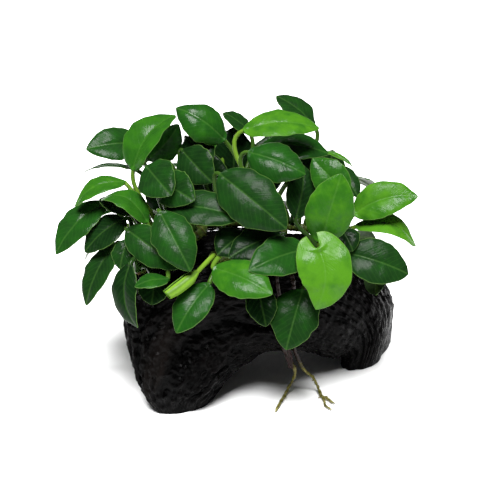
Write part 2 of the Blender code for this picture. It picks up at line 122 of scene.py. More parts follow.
def new_material(name, **inputs):
    """A material whose Principled shader has these values."""
    material = bpy.data.materials.new(name)
    material.use_nodes = True
    shader = material.node_tree.nodes["Principled BSDF"]
    for socket, value in inputs.items():
        shader.inputs[socket.replace("_", " ")].default_value = value
    return material


def feed(material, socket, node):
    """Links a node's first output into the material's Principled shader."""
    output = next(output for output in node.outputs if output.enabled)
    material.node_tree.links.new(output, material.node_tree.nodes["Principled BSDF"].inputs[socket])


def add_piece(name, points, faces, materials, which=None, marks=None):
    """A mesh piece from points in mm, with each face's material and the values marked at its points."""
    mesh = bpy.data.meshes.new(name)
    mesh.from_pydata((np.asarray(points) * MM).tolist(), [], faces)
    for material in materials:
        mesh.materials.append(material)
    if which is not None:
        mesh.polygons.foreach_set("material_index", np.asarray(which, np.int32))
    for mark, values in (marks or {}).items():
        values = np.asarray(values, np.float32)
        kind = ("FLOAT", "value") if values.ndim == 1 else ("FLOAT_VECTOR", "vector")
        attribute = mesh.attributes.new(mark, kind[0], "POINT")
        attribute.data.foreach_set(kind[1], values.ravel())
    mesh.shade_smooth()
    piece = bpy.data.objects.new(name, mesh)
    bpy.context.scene.collection.objects.link(piece)
    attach(piece, "root")
    return piece


def smooth_rows(rows, count):
    """Rows read at even steps along a smooth curve through them."""
    rows = np.array(rows, float)
    q = np.linspace(0, len(rows) - 1, count)
    k = np.minimum(q.astype(int), len(rows) - 2)
    t = (q - k)[:, None]
    before, a = rows[np.maximum(k - 1, 0)], rows[k]
    b, after = rows[k + 1], rows[np.minimum(k + 2, len(rows) - 1)]
    first = 2 * a + (b - before) * t + (2 * before - 5 * a + 4 * b - after) * t**2
    return 0.5 * first + 0.5 * (3 * a - before - 3 * b + after) * t**3


def skin_faces(levels, sides):
    """Faces of a closed skin: rings joined in turn, and a fan on each end over two added points."""
    faces = []
    for level in range(levels - 1):
        for k in range(sides):
            here, beside = level * sides + k, level * sides + (k + 1) % sides
            faces.append((here, beside, beside + sides, here + sides))
    start, end, last = levels * sides, levels * sides + 1, (levels - 1) * sides
    for k in range(sides):
        faces.append((start, (k + 1) % sides, k))
        faces.append((end, last + k, last + (k + 1) % sides))
    return faces


def facing_out(points, faces):
    """The same faces, all turned round if they enclose a negative volume."""
    corners = np.asarray(points)[[(*face, face[0])[:4] for face in faces]]
    a, b, c, d = (corners[:, k] for k in range(4))
    volume = np.sum(a * (np.cross(b, c) + np.cross(c, d)))
    return faces if volume > 0 else [tuple(reversed(face)) for face in faces]


def grain_depth(place, angle, share):
    """How deep the wood is worn here, in mm, and how near the surface is to a ridge's crest."""
    wander = 0.10 * noise.noise(Vector(place) / 16.0) + 0.035 * noise.noise(Vector(place) / 5.0)
    across = Vector((math.cos(angle + wander), math.sin(angle + wander), 0.0)) * WOOD_GIRTH
    along = Vector((0.0, 0.0, share * WOOD_RUN * GRAIN_STRETCH))
    depth = 0.0
    crest = 0.0
    for spacing, deep in GRAIN_LAYERS:
        fold = abs(noise.noise((across + along) / spacing + Vector((spacing, 7.1, 0.0))))
        groove = max(0.0, 1.0 - 3.2 * fold) ** 1.5
        depth += deep * groove
        crest += (1.0 - groove) * deep
    distances, cells = noise.voronoi(Vector(place) / PIT_SPACING)
    if noise.cell(cells[0] * 7.3) > 0.25:
        depth += PIT_DEPTH * max(0.0, 1.0 - distances[0] / 0.30) ** 0.7
    return depth, crest / sum(deep for _, deep in GRAIN_LAYERS)


def build_driftwood():
    """The wood's surface, slice by slice, worn along its grain and flat under its feet."""
    points, grain, crests = [], [], []
    angles = 2 * np.pi * np.arange(WOOD_SIDES) / WOOD_SIDES
    for level, row in enumerate(smooth_rows(WOOD_SLICES, WOOD_LEVELS)):
        share = level / (WOOD_LEVELS - 1)
        outer_x, outer_z, inner_x, inner_z, front, back, lean = row
        outer, inner = np.array([outer_x, 0, outer_z]), np.array([inner_x, 0, inner_z])
        middle = (outer + inner) / 2
        middle[1] = (front + back) / 2
        across = (outer - inner) / 2
        along = np.array([lean, 1.0, 0.0]) * (back - front) / 2
        from_foot = min(share, 1 - share)
        floor = WOOD_SOLE * min(1.0, 30 * from_foot)
        fade = min(1.0, 12 * from_foot)
        for angle in angles:
            c, s = math.cos(angle), math.sin(angle)
            rounded_c = math.copysign(abs(c) ** (2 / WOOD_SQUARENESS), c)
            rounded_s = math.copysign(abs(s) ** (2 / WOOD_SQUARENESS), s)
            place = middle + across * rounded_c + along * rounded_s
            outward = unit(place - middle)
            lump = noise.noise(Vector(place) / WOOD_LUMP_SPACING) * WOOD_LUMP
            ridge = noise.noise(Vector((4.0 * c, 4.0 * s, 3.0 * share))) * WOOD_RIDGE
            worn, crest = grain_depth(place, angle, share)
            crumbs = CRUMB_HEIGHT * noise.noise(Vector(place) / CRUMB_SPACING)
            place = place + outward * (lump + ridge + (WOOD_FULLNESS + crumbs - worn) * fade)
            place[2] = max(place[2], floor)
            points.append(place)
            grain.append((WOOD_GIRTH * c, WOOD_GIRTH * s, share * WOOD_RUN * GRAIN_STRETCH))
            crests.append(crest)
    for first in (0, (WOOD_LEVELS - 1) * WOOD_SIDES):
        points.append(np.mean(points[first : first + WOOD_SIDES], axis=0))
        grain.append(grain[first])
        crests.append(0.5)
    faces = facing_out(points, skin_faces(WOOD_LEVELS, WOOD_SIDES))
    marks = {"grain_mm": grain, "crest": crests}
    return add_piece("driftwood_surface", points, faces, [bogwood], marks=marks)


# Bogwood: near black, a little warm in dry patches, with wet glints on the grain and painted shade in its
# grooves.
SMOOTH = {"interpolation_type": "SMOOTHSTEP"}
COLOURS = {"data_type": "RGBA"}
bogwood = new_material("wet black bogwood", IOR=1.4, Specular_IOR_Level=0.05)
grain = add_node(bogwood, "ShaderNodeAttribute", {"attribute_name": "grain_mm"}).outputs["Vector"]
crest = add_node(bogwood, "ShaderNodeAttribute", {"attribute_name": "crest"}).outputs["Fac"]
fibre = add_node(bogwood, "ShaderNodeTexNoise", Vector=grain, Scale=1 / 0.9, Detail=5.0, Roughness=0.65)
patch = add_node(bogwood, "ShaderNodeTexNoise", Vector=grain, Scale=1 / 9.0, Detail=2.0)
stops = ((0.30, "010101"), (0.55, "050404"), (0.75, "0e0b0c"))
body = add_node(bogwood, "ShaderNodeValToRGB", {"stops": stops}, i0=fibre)
# Painted shade: the grooves between the grain's crests are set near black, and only the crests keep the
# wood's own colour.
unshaded_crests = add_node(bogwood, "ShaderNodeMapRange", SMOOTH, Value=crest, From_Min=0.55, From_Max=1.0)
worn = add_node(bogwood, "ShaderNodeMix", COLOURS, i0=unshaded_crests, i6=colour("010101"), i7=body)
dry = add_node(bogwood, "ShaderNodeMapRange", SMOOTH, Value=patch, From_Min=0.55, From_Max=0.75)
screen = {"data_type": "RGBA", "blend_type": "SCREEN"}
dried = add_node(bogwood, "ShaderNodeMix", screen, i0=dry, i6=worn, i7=colour("090706"))
feed(bogwood, "Base Color", dried)
wet = add_node(bogwood, "ShaderNodeMapRange", SMOOTH, Value=fibre, From_Min=0.38, From_Max=0.60)
feed(bogwood, "Roughness", add_node(bogwood, "ShaderNodeMapRange", Value=wet, To_Min=0.52, To_Max=0.18))
place = add_node(bogwood, "ShaderNodeTexCoord").outputs["Object"]
ridged = {"noise_type": "RIDGED_MULTIFRACTAL"}
crinkle = add_node(bogwood, "ShaderNodeTexNoise", ridged, Vector=place, Scale=1 / (2.2 * MM), Detail=2.5)
relief = add_node(bogwood, "ShaderNodeMath", {"operation": "MULTIPLY_ADD"}, i0=fibre, i1=0.5, i2=crinkle)
feed(bogwood, "Normal", add_node(bogwood, "ShaderNodeBump", Height=relief, Strength=1.0, Distance=0.6 * MM))

driftwood = build_driftwood()
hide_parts("driftwood")

wood_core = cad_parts["driftwood"]
wood_corners = [wood_core.matrix_world @ v.co / MM for v in wood_core.data.vertices]
wood_surface = BVHTree.FromPolygons(wood_corners, [tuple(p.vertices) for p in wood_core.data.polygons])


def wood_top(x, y, around):
    """The highest point of the wood within this distance of a place, in mm."""
    found = []
    for k in range(9):
        angle = 2 * math.pi * k / 8
        step = around if k < 8 else 0.0
        start = Vector((x + step * math.cos(angle), y + step * math.sin(angle), 120.0))
        hit = wood_surface.ray_cast(start, Vector((0, 0, -1)))[0]
        if hit:
            found.append(hit.z)
    return max(found)


# Rhizomes: the creeping stems of the four plants, thick and fleshy, that lie along the top of the wood.
# Each is ringed with the scars of leaves that it has dropped, and olive green between them.
GAP = 0.35
UP = np.array([0.0, 0.0, 1.0])
RHIZOME_RADIUS = 2.5
RHIZOMES = {
    # places along each stem: x, y and the lift off the wood, in mm
    "left": ((-35, -19, 0), (-31, -13, 0), (-25, -9, 0), (-17, -8, 1), (-11, -5, 4)),
    "centre": ((-9, -19, 0), (-2, -15, 0), (6, -12, 0), (13, -8, 1), (18, -2, 4)),
    "right": ((22, -15, 0), (28, -11, 0), (33, -5, 0), (37, 2, 0), (38, 9, 0), (37, 15, 2)),
    "back": ((16, 12, 0), (8, 11, 0), (-1, 11, 0), (-10, 11, 0), (-18, 8, 2)),
}
RHIZOME_LEVELS = 8
SCAR_SPACING = 2.3


def rhizome_path(rows, count, radius):
    """A stem's middle line, which rests on the wood under it."""
    path = []
    for x, y, lift in smooth_rows(rows, count):
        path.append([x, y, wood_top(x, y, radius) + radius * 1.12 + GAP + lift])
    return np.array(path)


def tube_points(path, radii, sides, lumps=0.0, seed=0.0):
    """Rings of points round a path, a little lumpy, with the two end points that skin_faces expects."""
    rings = []
    side = unit(np.cross(path[1] - path[0], (0.31, 0.17, 0.93)))
    for k, point in enumerate(path):
        ahead = unit(path[min(k + 1, len(path) - 1)] - path[max(k - 1, 0)])
        side = unit(side - ahead * side.dot(ahead))
        other = np.cross(ahead, side)
        for n in range(sides):
            angle = 2 * math.pi * n / sides
            outward = math.cos(angle) * side + math.sin(angle) * other
            place = point + radii[k] * outward
            swell = lumps * noise.noise(Vector(place) / (1.6 * radii[k] + 0.3) + Vector((seed, 0, 0)))
            rings.append(point + outward * radii[k] * (1 + swell))
    ahead = unit(path[-1] - path[-2])
    rings.append(path[0] - unit(path[1] - path[0]) * radii[0] * 0.4)
    rings.append(path[-1] + ahead * radii[-1] * 0.8)
    return np.array(rings)


def path_lengths(path):
    """How far along the path each of its points is."""
    return np.concatenate([[0.0], np.cumsum(np.linalg.norm(np.diff(path, axis=0), axis=1))])


def stem_mesh(line, radius, sides, seed):
    """A ringed creeping stem along a line, and each point's distance along it in mm."""
    path = smooth_rows(line, 90)
    run = path_lengths(path)
    rings = 0.5 + 0.5 * np.cos(2 * np.pi * run / SCAR_SPACING)
    ends = np.minimum(1.0, np.minimum(run + 0.5, run[-1] - run + 0.6) / 2.2) ** 0.5
    radii = radius * (0.93 + 0.12 * rings**4) * ends
    points = tube_points(path, radii, sides, lumps=0.10, seed=seed)
    along = np.append(np.repeat(run, sides), (0.0, run[-1]))
    return points, skin_faces(len(path), sides), along


# Stem skin: smooth and moist over firm flesh, olive, with brown, corky scars.
stem_skin = new_material(
    "fleshy olive stem", IOR=1.4, Specular_IOR_Level=0.12, Coat_Weight=0.03, Coat_Roughness=0.25
)
along = add_node(stem_skin, "ShaderNodeAttribute", {"attribute_name": "along_mm"}).outputs["Fac"]
scar = add_node(stem_skin, "ShaderNodeMath", {"operation": "PINGPONG"}, i0=along, i1=SCAR_SPACING / 2)
place = add_node(stem_skin, "ShaderNodeTexCoord").outputs["Object"]
spots = add_node(stem_skin, "ShaderNodeTexNoise", Vector=place, Scale=1 / (1.8 * MM), Detail=4.0)
stops = ((0.30, "232f11"), (0.52, "3e4d1e"), (0.72, "5c672f"))
flesh = add_node(stem_skin, "ShaderNodeValToRGB", {"stops": stops}, i0=spots)
ringed = add_node(stem_skin, "ShaderNodeMapRange", SMOOTH, Value=scar, From_Min=0.30, From_Max=0.02)
scarred = add_node(stem_skin, "ShaderNodeMix", COLOURS, i0=ringed, i6=flesh, i7=colour("352a17"))
feed(stem_skin, "Base Color", scarred)
stops = ((0.3, "6a6a6a"), (0.7, "9a9a9a"))
feed(stem_skin, "Roughness", add_node(stem_skin, "ShaderNodeValToRGB", {"stops": stops}, i0=spots))
bumps = add_node(stem_skin, "ShaderNodeBump", Height=spots, Strength=0.5, Distance=0.2 * MM)
feed(stem_skin, "Normal", bumps)

rhizome_lines = {}
for number, (area, rows) in enumerate(RHIZOMES.items()):
    rhizome_lines[area] = rhizome_path(rows, RHIZOME_LEVELS, RHIZOME_RADIUS)
    points, faces, run = stem_mesh(rhizome_lines[area], RHIZOME_RADIUS, 28, 3.0 * number)
    faces = facing_out(points, faces)
    stem = add_piece(f"stem_{area}", points, faces, [stem_skin], marks={"along_mm": run})
    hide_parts("rhizome_" + area)

# Leaves: each a thick oval blade and its stalk, grown as one. The upper side is waxy and dark with a sunken
# midrib, fine side veins that sweep forward and a pale rim; the underside is dull, with a raised midrib.
# Young leaves are bright yellow-green, and they darken with age.
STALK_RADIUS = 0.8
STALK_RINGS = 16
STALK_SUNK = 1.5  # mm that a stalk's foot goes into its stem
BLADE_RINGS = 58
LAMINA = 0.34  # mm, the blade's own thickness between its veins
STALK_MERGE = 0.06  # the share of the blade's length over which the stalk runs out into it
MIDRIB_DEPTH = 0.24
KEEL_HEIGHT = 0.95  # mm that the midrib stands out underneath, at the blade's base
VEIN_SPACING = 2.2
VEIN_SWEEP = 0.85  # mm that a vein runs forward for each mm outward
VEIN_BOW = 0.03  # and how much more it bends forward the further out it is
VEIN_DEPTH = 0.035
WAVE_SPACING = 4.4  # mm between the broad, soft waves of a blade
WAVE_DEPTH = 0.28
EDGE_RIPPLE = 0.022  # the share of the blade's width that its edges rise and fall
UNEVEN_EDGE = 0.10  # the share of its half width that an edge wanders in and out
COLUMNS = np.array([0, 0.03, 0.07, 0.13, 0.21, 0.31, 0.42, 0.54, 0.66, 0.77, 0.86, 0.93, 0.975, 1.0])
UPPER = np.concatenate([-COLUMNS[:0:-1], COLUMNS])
UNDER = UPPER[-2:0:-1]
RING_ACROSS = np.concatenate([UPPER, UNDER])
RING_UPPER = np.concatenate([np.ones(len(UPPER), bool), np.zeros(len(UNDER), bool)])
ROUND_ACROSS = np.sin(np.pi * RING_ACROSS / 2)
ROUND_HEIGHT = np.where(RING_UPPER, 1, -1) * np.sqrt(1 - np.clip(np.abs(ROUND_ACROSS), 0, 1) ** 2)


def half_width(t, lobe):
    """Half the blade's width at t from base 0 to tip 1, for a blade one wide; a lobe widens its base."""
    power = 0.52 + 0.16 * t
    return 0.5 * max(math.sin(math.pi * min(t, 1.0) ** (0.86 - 0.9 * lobe)), 0.0) ** power


def stalk_rings(root, outward, base, forward, level, sway, knee):
    """Rings and marks from the stem to the blade's base, on one smooth curve, and how far apart they are."""
    distance = np.linalg.norm(base - root)
    aside = unit(np.cross(base - root, UP)) * sway
    arriving = unit(forward * (1 - knee) + unit(base - root) * knee)
    leaving = root + outward * distance * 0.42 + aside
    nearing = base - arriving * distance * 0.30 + aside
    rings, marks = [], []
    across = level
    for q in reversed(np.linspace(0, 1, STALK_RINGS)):
        place = (1 - q) ** 3 * root + 3 * (1 - q) ** 2 * q * leaving
        place = place + 3 * (1 - q) * q**2 * nearing + q**3 * base
        slope = (1 - q) ** 2 * (leaving - root) + 2 * (1 - q) * q * (nearing - leaving)
        slope = unit(slope + q**2 * (base - nearing))
        across = unit(across - slope * across.dot(slope))
        over = np.cross(slope, across)
        sheath = 0.35 * math.exp(-((q * distance / 2.5) ** 2))
        radius = STALK_RADIUS * (1.0 + 0.3 * (1 - q) ** 2 + sheath)
        ring = place + radius * (ROUND_ACROSS[:, None] * across + ROUND_HEIGHT[:, None] * over)
        rings.insert(0, ring)
        behind = np.full(len(ring), (q - 1) * distance)
        marks.insert(0, np.stack([RING_ACROSS * radius, behind, np.full(len(ring), 9.0)], 1))
    rings[0] = rings[0] - outward * STALK_SUNK
    return rings, marks, distance


def blade_relief(t, across, length, width, tip):
    """How far a ring's points stand off the blade's sheet: its body, its midrib, and veins and waves."""
    u = RING_ACROSS
    reach = np.abs(across)
    ripple = EDGE_RIPPLE * width * u * u * noise.noise(Vector((tip[0], 6 * t, 0.0)))
    ripple += EDGE_RIPPLE * width * u * u * np.sign(u) * noise.noise(Vector((tip[1], 7 * t, 5.0)))
    level = t * length - reach * VEIN_SWEEP - VEIN_BOW * reach**2
    veins = -VEIN_DEPTH * np.cos(2 * np.pi * level / VEIN_SPACING)
    quilt = veins * np.minimum(reach / 1.5, 1.0) * (1 - u**4)
    waves = [noise.noise(Vector((t * length, place, tip[0])) / WAVE_SPACING) for place in across]
    quilt += WAVE_DEPTH * np.array(waves)
    groove = -MIDRIB_DEPTH * np.exp(-((reach / 0.42) ** 2)) * (1 - t) ** 0.35
    keel = KEEL_HEIGHT * (1 - t) ** 0.9 * np.exp(-((reach / (0.35 + 0.3 * (1 - t))) ** 2))
    thick = 0.5 * LAMINA * (1 - u**8)
    return np.where(RING_UPPER, thick + groove, -thick - keel) + ripple, quilt


def leaf_mesh(root, outward, base, tip, width, facing, arch=0.10, fold=0.25, curl=0.25, bend=0.0,
              twist=0.0, wave=0.0, lobe=0.0, sway=0.0, knee=0.0, age=0.5):
    """Points, faces, each face's side and the marks of one leaf.

    arch lifts the middle towards the side it faces, bend moves it sideways, fold makes a valley of the
    midrib, curl turns the edges down, wave ripples them, lobe draws the base back each side of the stalk,
    sway moves the stalk's middle aside, in mm, and knee is how sharply the blade turns off its stalk.
    """
    length = np.linalg.norm(tip - base)
    ahead = unit(tip - base)
    face = unit(facing - ahead * facing.dot(ahead))
    side = np.cross(face, ahead)

    def midrib(t):
        rise = 4 * t * (1 - t) * length
        return base + ahead * length * t + face * arch * rise + side * bend * rise

    def blade_frame(t):
        forward = unit(midrib(min(t + 0.001, 1.0)) - midrib(max(t - 0.001, 0.0)))
        level = unit(side - forward * side.dot(forward))
        normal = np.cross(forward, level)
        turn = math.radians(twist) * (t - 0.5)
        turned = level * math.cos(turn) + normal * math.sin(turn)
        return forward, turned, normal * math.cos(turn) - level * math.sin(turn)

    u = RING_ACROSS
    forward, level, normal = blade_frame(0.0)
    rings, marks, distance = stalk_rings(root, outward, base, forward, level, sway, knee)
    for x in np.linspace(0, 1, BLADE_RINGS)[1:-1]:
        t = 0.5 - 0.5 * math.cos(math.pi * x)
        forward, level, normal = blade_frame(t)
        blade = min(t / STALK_MERGE, 1.0)
        blade = blade * blade * (3 - 2 * blade)
        half = max(width * half_width(t, lobe), STALK_RADIUS * (1 - blade))
        uneven = [1 + UNEVEN_EDGE * noise.noise(Vector((7 * t, tip[0], way))) for way in (-3.0, 3.0)]
        half = half * np.where(u < 0, *uneven)
        swept = -lobe * length * u * u * (1 - t) ** 5
        height = fold * np.maximum(np.abs(u) * half - 0.5, 0.0) - curl * half * u * u
        height += wave * width * u * u * np.sin(4 * math.pi * t + np.where(u > 0, 0.0, 2.1))
        relief, quilt = blade_relief(t, u * half, length, width, tip)
        height = blade * (height + relief + quilt * blade) + (1 - blade) * STALK_RADIUS * ROUND_HEIGHT
        spread = blade * u * half + (1 - blade) * ROUND_ACROSS * half
        ring = midrib(t) + forward * swept[:, None] + level * spread[:, None] + normal * height[:, None]
        rings.append(ring)
        nearest_end = min(t, 1 - t) * length * 0.8
        margin = np.minimum((1 - np.abs(u)) * half, nearest_end + 0.2)
        marks.append(np.stack([u * half, np.full(len(u), t * length), margin], 1))
    levels, sides = len(rings), len(u)
    points = np.concatenate([*rings, [root - outward * STALK_SUNK], [midrib(1.0)]])
    leaf_mm = np.concatenate([*marks, [[0, -distance, 9]], [[0, length, 0]]])
    faces = skin_faces(levels, sides)
    which = np.where(np.arange(sides) < len(UPPER) - 1, 0, 1)
    stalk_which = np.full((STALK_RINGS - 1) * sides, 2)
    end_which = np.stack([np.full(sides, 2), which], 1).ravel()
    which = np.concatenate([stalk_which, np.tile(which, levels - STALK_RINGS), end_which])
    ages = np.full(len(points), age)
    return points, facing_out(points, faces), which, {"leaf_mm": leaf_mm, "age": ages}


def stalk_root(line, radius, station, base):
    """Where a stalk leaves the stem along this line, just clear of it, and the way it sets out."""
    q = station * (len(line) - 1)
    k = min(int(q), len(line) - 2)
    centre = line[k] + (line[k + 1] - line[k]) * (q - k)
    along = unit(line[k + 1] - line[k])
    towards = unit(base - centre) + 0.5 * UP
    outward = unit(towards - along * towards.dot(along))
    return centre + outward * (radius * 1.1 + GAP), outward


def leaf_pattern(material):
    """What the blade's sides share: mm off the midrib, mm from the rim, age, veins, mottling and place."""
    where = add_node(material, "ShaderNodeAttribute", {"attribute_name": "leaf_mm"}).outputs["Vector"]
    age = add_node(material, "ShaderNodeAttribute", {"attribute_name": "age"}).outputs["Fac"]
    place = add_node(material, "ShaderNodeTexCoord").outputs["Object"]
    across, run, rim = add_node(material, "ShaderNodeSeparateXYZ", Vector=where).outputs
    mottle = add_node(material, "ShaderNodeTexNoise", Vector=place, Scale=1 / (4.5 * MM), Detail=3.0)
    off = add_node(material, "ShaderNodeMath", {"operation": "ABSOLUTE"}, i0=across)
    square = add_node(material, "ShaderNodeMath", {"operation": "POWER"}, i0=off, i1=2.0)
    bowed = add_node(material, "ShaderNodeMath", {"operation": "MULTIPLY"}, i0=square, i1=VEIN_BOW)
    multiply_add = {"operation": "MULTIPLY_ADD"}
    sweep = add_node(material, "ShaderNodeMath", multiply_add, i0=off, i1=VEIN_SWEEP, i2=bowed)
    level = add_node(material, "ShaderNodeMath", {"operation": "SUBTRACT"}, i0=run, i1=sweep)
    phase = add_node(material, "ShaderNodeMath", multiply_add, i0=mottle, i1=1.6, i2=level)
    vein = add_node(material, "ShaderNodeMath", {"operation": "PINGPONG"}, i0=phase, i1=VEIN_SPACING / 2)
    return off, rim, age, phase, vein, mottle, place


# Waxy upper side: a clear wax over green flesh, so it shines in patches and in streaks that follow the side
# veins. The wax wears thin on old leaves.
leaf_top = new_material("waxy leaf upper side", IOR=1.42, Specular_IOR_Level=0.03, Coat_Roughness=0.14)
off, rim, age, phase, vein, mottle, place = leaf_pattern(leaf_top)
uneven = add_node(leaf_top, "ShaderNodeMath", {"operation": "SUBTRACT"}, i0=mottle, i1=0.5)
older = add_node(leaf_top, "ShaderNodeMath", {"operation": "MULTIPLY_ADD"}, i0=uneven, i1=0.5, i2=age)
stops = ((0.05, "3a6714"), (0.25, "234f0f"), (0.50, "153b0e"), (0.75, "10290d"), (1.0, "081a08"))
flesh = add_node(leaf_top, "ShaderNodeValToRGB", {"stops": stops}, i0=older)
near_vein = add_node(
    leaf_top, "ShaderNodeMapRange", SMOOTH, Value=vein, From_Min=0.32, From_Max=0.05, To_Max=0.06
)
flesh = add_node(leaf_top, "ShaderNodeMix", COLOURS, i0=near_vein, i6=flesh, i7=colour("3c6428"))
crease = add_node(
    leaf_top, "ShaderNodeMapRange", SMOOTH, Value=off, From_Min=0.50, From_Max=0.12, To_Max=0.16
)
flesh = add_node(leaf_top, "ShaderNodeMix", COLOURS, i0=crease, i6=flesh, i7=colour("4a7030"))
margin = add_node(
    leaf_top, "ShaderNodeMapRange", SMOOTH, Value=rim, From_Min=0.34, From_Max=0.10, To_Max=0.50
)
flesh = add_node(leaf_top, "ShaderNodeMix", COLOURS, i0=margin, i6=flesh, i7=colour("5a7a3a"))
feed(leaf_top, "Base Color", flesh)
stops = ((0.30, "848484"), (0.70, "a4a4a4"))
feed(leaf_top, "Roughness", add_node(leaf_top, "ShaderNodeValToRGB", {"stops": stops}, i0=mottle))
streak = add_node(leaf_top, "ShaderNodeCombineXYZ", X=phase, Y=age)
streaks = add_node(leaf_top, "ShaderNodeTexNoise", Vector=streak, Scale=1.4, Detail=3.0)
dimples = add_node(leaf_top, "ShaderNodeTexNoise", Vector=place, Scale=1 / (1.3 * MM), Detail=3.0)
height = add_node(leaf_top, "ShaderNodeMath", {"operation": "ADD"}, i0=streaks, i1=dimples)
surface = add_node(leaf_top, "ShaderNodeBump", Height=height, Strength=0.45, Distance=0.22 * MM)
feed(leaf_top, "Normal", surface)
feed(leaf_top, "Coat Normal", surface)
shine = add_node(
    leaf_top, "ShaderNodeMapRange", SMOOTH, Value=age, From_Min=0.50, From_Max=0.72, To_Min=0.20, To_Max=0.07
)
wax = add_node(
    leaf_top, "ShaderNodeMapRange", Value=mottle, From_Min=0.42, From_Max=0.60, To_Min=0.02, To_Max=shine
)
feed(leaf_top, "Coat Weight", wax)

# Dull underside: paler, greyer and matt, and darker and greyer on old leaves.
leaf_under = new_material(
    "matt leaf underside", IOR=1.4, Specular_IOR_Level=0.12, Coat_Weight=0.02, Coat_Roughness=0.4
)
off, rim, age, phase, vein, mottle, place = leaf_pattern(leaf_under)
stops = ((0.0, "5f8424"), (0.12, "426d1c"), (0.35, "354f25"), (0.65, "2c3f23"), (1.0, "22301c"))
flesh = add_node(leaf_under, "ShaderNodeValToRGB", {"stops": stops}, i0=age)
near_vein = add_node(
    leaf_under, "ShaderNodeMapRange", SMOOTH, Value=vein, From_Min=0.30, From_Max=0.05, To_Max=0.2
)
flesh = add_node(leaf_under, "ShaderNodeMix", COLOURS, i0=near_vein, i6=flesh, i7=colour("42582f"))
keel = add_node(leaf_under, "ShaderNodeMapRange", SMOOTH, Value=off, From_Min=0.9, From_Max=0.4, To_Max=0.6)
flesh = add_node(leaf_under, "ShaderNodeMix", COLOURS, i0=keel, i6=flesh, i7=colour("3a5222"))
feed(leaf_under, "Base Color", flesh)
stops = ((0.3, "8a8a8a"), (0.7, "a6a6a6"))
feed(leaf_under, "Roughness", add_node(leaf_under, "ShaderNodeValToRGB", {"stops": stops}, i0=mottle))
bumps = add_node(leaf_under, "ShaderNodeBump", Height=mottle, Strength=0.4, Distance=0.3 * MM)
feed(leaf_under, "Normal", bumps)

# Stalk: smooth, moist and yellow-green, darker on old leaves.
leaf_stalk = new_material(
    "moist green stalk", IOR=1.4, Specular_IOR_Level=0.12, Coat_Weight=0.03, Coat_Roughness=0.25
)
off, rim, age, phase, vein, mottle, place = leaf_pattern(leaf_stalk)
stops = ((0.0, "5c7a21"), (0.5, "365319"), (1.0, "162b10"))
feed(leaf_stalk, "Base Color", add_node(leaf_stalk, "ShaderNodeValToRGB", {"stops": stops}, i0=age))
stops = ((0.3, "5c5c5c"), (0.7, "8a8a8a"))
feed(leaf_stalk, "Roughness", add_node(leaf_stalk, "ShaderNodeValToRGB", {"stops": stops}, i0=mottle))
